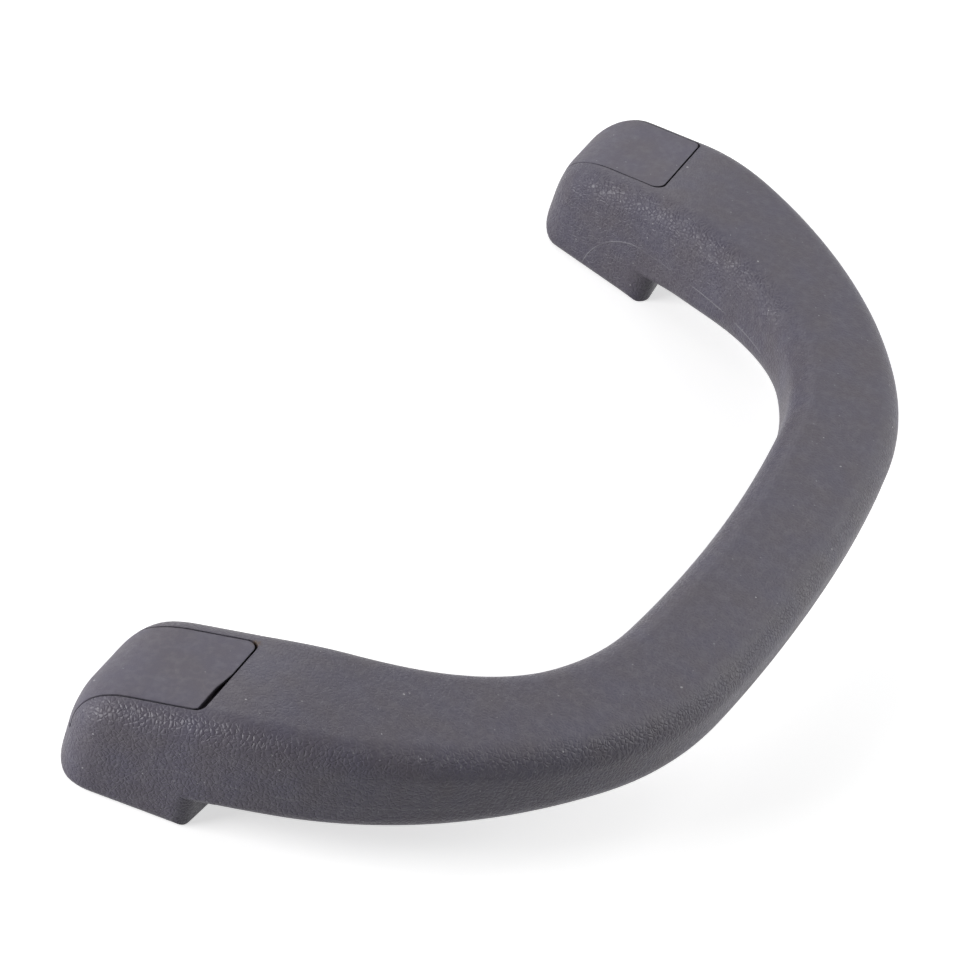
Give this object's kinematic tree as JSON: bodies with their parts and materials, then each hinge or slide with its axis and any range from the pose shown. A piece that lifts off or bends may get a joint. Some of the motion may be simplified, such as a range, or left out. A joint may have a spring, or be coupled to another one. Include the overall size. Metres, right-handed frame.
{
  "type": "roof grab handle",
  "caption": "U-shaped moulded grab handle with a soft-edged bow, two bolted feet, hinged screw covers and steel sleeves in the feet.",
  "frame": {"origin": "middle between the two screw holes, on the mounting surface", "axes": "+X from the left to the right screw hole, +Y from the feet towards the bow, +Z away from the mounting surface"},
  "size_m": [0.2482, 0.0997, 0.0273],
  "materials": {
    "grained_plastic": "grey-violet moulded plastic with a fine leather grain",
    "cover_plastic": "grey-violet moulded plastic, fine smooth matt",
    "sleeve_steel": "zinc-plated steel"
  },
  "bodies": {
    "grip": {"grip_body": "grained_plastic", "left_sleeve": "sleeve_steel", "right_sleeve": "sleeve_steel"},
    "left_cover": {"left_screw_cover": "cover_plastic"},
    "right_cover": {"right_screw_cover": "cover_plastic"}
  },
  "joints": [
    {"name": "left_cover_hinge", "type": "hinge", "parent": "grip", "child": "left_cover", "pos_m": [-0.11, -0.0102, 0.0086], "axis": [1, 0, 0], "range_deg": [0, 90]},
    {"name": "right_cover_hinge", "type": "hinge", "parent": "grip", "child": "right_cover", "pos_m": [0.11, -0.0102, 0.0086], "axis": [1, 0, 0], "range_deg": [0, 90]}
  ]
}
